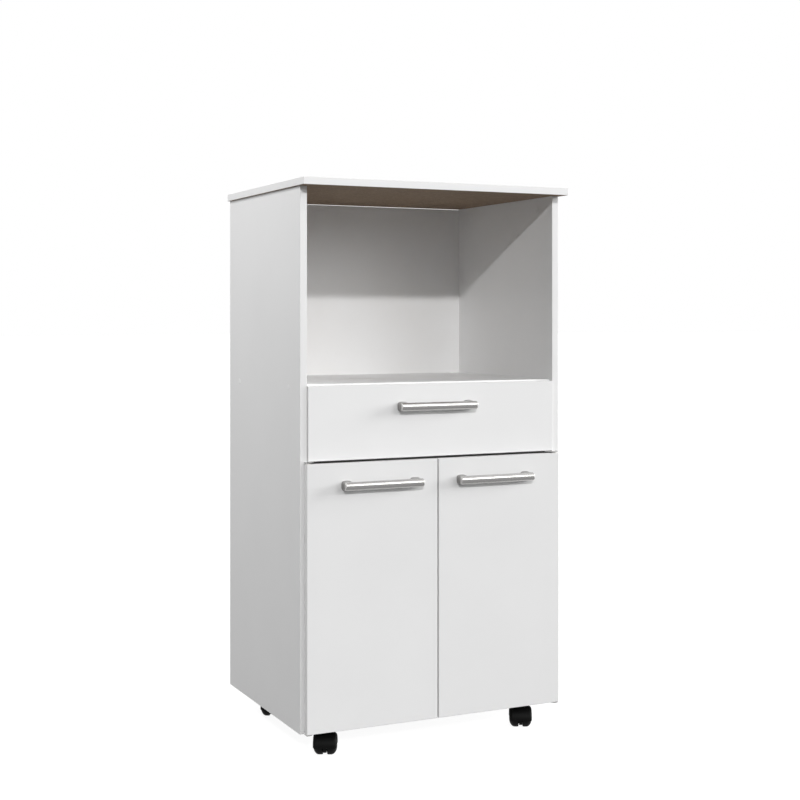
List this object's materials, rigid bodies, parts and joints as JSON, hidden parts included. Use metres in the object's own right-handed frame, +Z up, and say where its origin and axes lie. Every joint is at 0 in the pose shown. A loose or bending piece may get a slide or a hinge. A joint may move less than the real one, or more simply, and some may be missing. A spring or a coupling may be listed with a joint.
{
  "type": "microwave cabinet",
  "caption": "Tall white kitchen cabinet on swivel casters with an open appliance niche, a drawer on roller runners below it and hinged doors with bar handles.",
  "frame": {"origin": "on the floor under the centre of the bounding box", "axes": "+Z up, -Y out of the front towards the user, +X to the user's right"},
  "size_m": [0.6, 0.469, 1.139],
  "materials": {
    "white_board": "white melamine faced chipboard, satin",
    "drawer_board": "white foil faced chipboard, satin",
    "hardboard": "white lacquered hardboard",
    "zinc_steel": "zinc plated steel",
    "die_cast_zinc": "die cast zinc",
    "white_cap": "white adhesive cap",
    "beech": "plain beech",
    "runner_paint": "white powder coated sheet steel",
    "plate_steel": "zinc plated sheet steel",
    "catch_plastic": "white moulded plastic",
    "nylon": "white nylon",
    "handle_metal": "satin silver",
    "handle_foot": "silver grey moulded",
    "caster_plastic": "black moulded plastic",
    "wheel_plastic": "black hard plastic"
  },
  "bodies": {
    "cabinet": {"side_panel_left": "white_board", "side_panel_right": "white_board", "top_panel": "white_board", "niche_shelf": "white_board", "drawer_rail": "white_board", "bottom_panel": "white_board", "back_panel_upper": "hardboard", "back_panel_lower": "hardboard", "inner_shelf": "white_board", "shelf_pins": "zinc_steel", "carcass_screws": "zinc_steel", "screw_caps": "white_cap", "dowels": "beech", "cam_bolts": "zinc_steel", "cam_locks": "die_cast_zinc", "back_nails": "zinc_steel", "runner_cabinet_left": "runner_paint", "runner_cabinet_right": "runner_paint", "fitting_screws": "zinc_steel", "caster_plates": "plate_steel", "hinge_plates": "plate_steel", "door_catches": "catch_plastic"},
    "cabinet_rollers": {"cabinet_rollers": "nylon"},
    "drawer": {"drawer_front": "white_board", "drawer_side_left": "drawer_board", "drawer_side_right": "drawer_board", "drawer_back": "drawer_board", "drawer_bottom": "hardboard", "drawer_runner_left": "runner_paint", "drawer_runner_right": "runner_paint", "drawer_dowels": "beech", "drawer_screws": "zinc_steel", "drawer_handle_bar": "handle_metal", "drawer_handle_feet": "handle_foot", "drawer_handle_screws": "zinc_steel"},
    "drawer_rollers": {"drawer_rollers": "nylon"},
    "door_left": {"door_left": "white_board", "door_left_handle_bar": "handle_metal", "door_left_handle_feet": "handle_foot", "door_left_handle_screws": "zinc_steel", "door_left_hinge_bushes": "nylon", "door_left_strike_plate": "plate_steel"},
    "door_right": {"door_right": "white_board", "door_right_handle_bar": "handle_metal", "door_right_handle_feet": "handle_foot", "door_right_handle_screws": "zinc_steel", "door_right_hinge_bushes": "nylon", "door_right_strike_plate": "plate_steel"},
    "caster_front_left": {"caster_hood_front_left": "caster_plastic"},
    "wheel_front_left_left": {"caster_wheel_front_left_left": "wheel_plastic"},
    "wheel_front_left_right": {"caster_wheel_front_left_right": "wheel_plastic"},
    "caster_front_right": {"caster_hood_front_right": "caster_plastic"},
    "wheel_front_right_left": {"caster_wheel_front_right_left": "wheel_plastic"},
    "wheel_front_right_right": {"caster_wheel_front_right_right": "wheel_plastic"},
    "caster_back_left": {"caster_hood_back_left": "caster_plastic"},
    "wheel_back_left_left": {"caster_wheel_back_left_left": "wheel_plastic"},
    "wheel_back_left_right": {"caster_wheel_back_left_right": "wheel_plastic"},
    "caster_back_right": {"caster_hood_back_right": "caster_plastic"},
    "wheel_back_right_left": {"caster_wheel_back_right_left": "wheel_plastic"},
    "wheel_back_right_right": {"caster_wheel_back_right_right": "wheel_plastic"}
  },
  "joints": [
    {"name": "drawer_slide", "type": "slide", "parent": "cabinet", "child": "drawer", "axis": [0, -1, 0], "range_m": [0, 0.28]},
    {"name": "cabinet_roller_spin", "type": "hinge", "parent": "cabinet", "child": "cabinet_rollers", "pos_m": [0, -0.1645, 0.6028], "axis": [1, 0, 0], "continuous": true},
    {"name": "drawer_roller_spin", "type": "hinge", "parent": "drawer", "child": "drawer_rollers", "pos_m": [0, 0.1535, 0.6025], "axis": [1, 0, 0], "continuous": true},
    {"name": "door_left_hinge", "type": "hinge", "parent": "cabinet", "child": "door_left", "pos_m": [-0.2815, -0.202, 0.3155], "axis": [0, 0, -1], "range_deg": [0, 105]},
    {"name": "door_right_hinge", "type": "hinge", "parent": "cabinet", "child": "door_right", "pos_m": [0.2815, -0.202, 0.3155], "axis": [0, 0, 1], "range_deg": [0, 105]},
    {"name": "caster_front_left_swivel", "type": "hinge", "parent": "cabinet", "child": "caster_front_left", "pos_m": [-0.223, -0.1545, 0.047], "axis": [0, 0, 1], "continuous": true},
    {"name": "wheel_front_left_left_spin", "type": "hinge", "parent": "caster_front_left", "child": "wheel_front_left_left", "pos_m": [-0.2348, -0.17767, 0.02], "axis": [0.891, -0.454, 0], "continuous": true},
    {"name": "wheel_front_left_right_spin", "type": "hinge", "parent": "caster_front_left", "child": "wheel_front_left_right", "pos_m": [-0.2348, -0.17767, 0.02], "axis": [0.891, -0.454, 0], "continuous": true},
    {"name": "caster_front_right_swivel", "type": "hinge", "parent": "cabinet", "child": "caster_front_right", "pos_m": [0.223, -0.1545, 0.047], "axis": [0, 0, 1], "continuous": true},
    {"name": "wheel_front_right_left_spin", "type": "hinge", "parent": "caster_front_right", "child": "wheel_front_right_left", "pos_m": [0.2112, -0.17767, 0.02], "axis": [0.891, -0.454, 0], "continuous": true},
    {"name": "wheel_front_right_right_spin", "type": "hinge", "parent": "caster_front_right", "child": "wheel_front_right_right", "pos_m": [0.2112, -0.17767, 0.02], "axis": [0.891, -0.454, 0], "continuous": true},
    {"name": "caster_back_left_swivel", "type": "hinge", "parent": "cabinet", "child": "caster_back_left", "pos_m": [-0.223, 0.1485, 0.047], "axis": [0, 0, 1], "continuous": true},
    {"name": "wheel_back_left_left_spin", "type": "hinge", "parent": "caster_back_left", "child": "wheel_back_left_left", "pos_m": [-0.2348, 0.12533, 0.02], "axis": [0.891, -0.454, 0], "continuous": true},
    {"name": "wheel_back_left_right_spin", "type": "hinge", "parent": "caster_back_left", "child": "wheel_back_left_right", "pos_m": [-0.2348, 0.12533, 0.02], "axis": [0.891, -0.454, 0], "continuous": true},
    {"name": "caster_back_right_swivel", "type": "hinge", "parent": "cabinet", "child": "caster_back_right", "pos_m": [0.223, 0.1485, 0.047], "axis": [0, 0, 1], "continuous": true},
    {"name": "wheel_back_right_left_spin", "type": "hinge", "parent": "caster_back_right", "child": "wheel_back_right_left", "pos_m": [0.2112, 0.12533, 0.02], "axis": [0.891, -0.454, 0], "continuous": true},
    {"name": "wheel_back_right_right_spin", "type": "hinge", "parent": "caster_back_right", "child": "wheel_back_right_right", "pos_m": [0.2112, 0.12533, 0.02], "axis": [0.891, -0.454, 0], "continuous": true}
  ],
  "couplings": [
    {"joint": "cabinet_roller_spin", "follows": "drawer_slide", "rad_per_m": 83.333},
    {"joint": "drawer_roller_spin", "follows": "drawer_slide", "rad_per_m": 83.333}
  ]
}
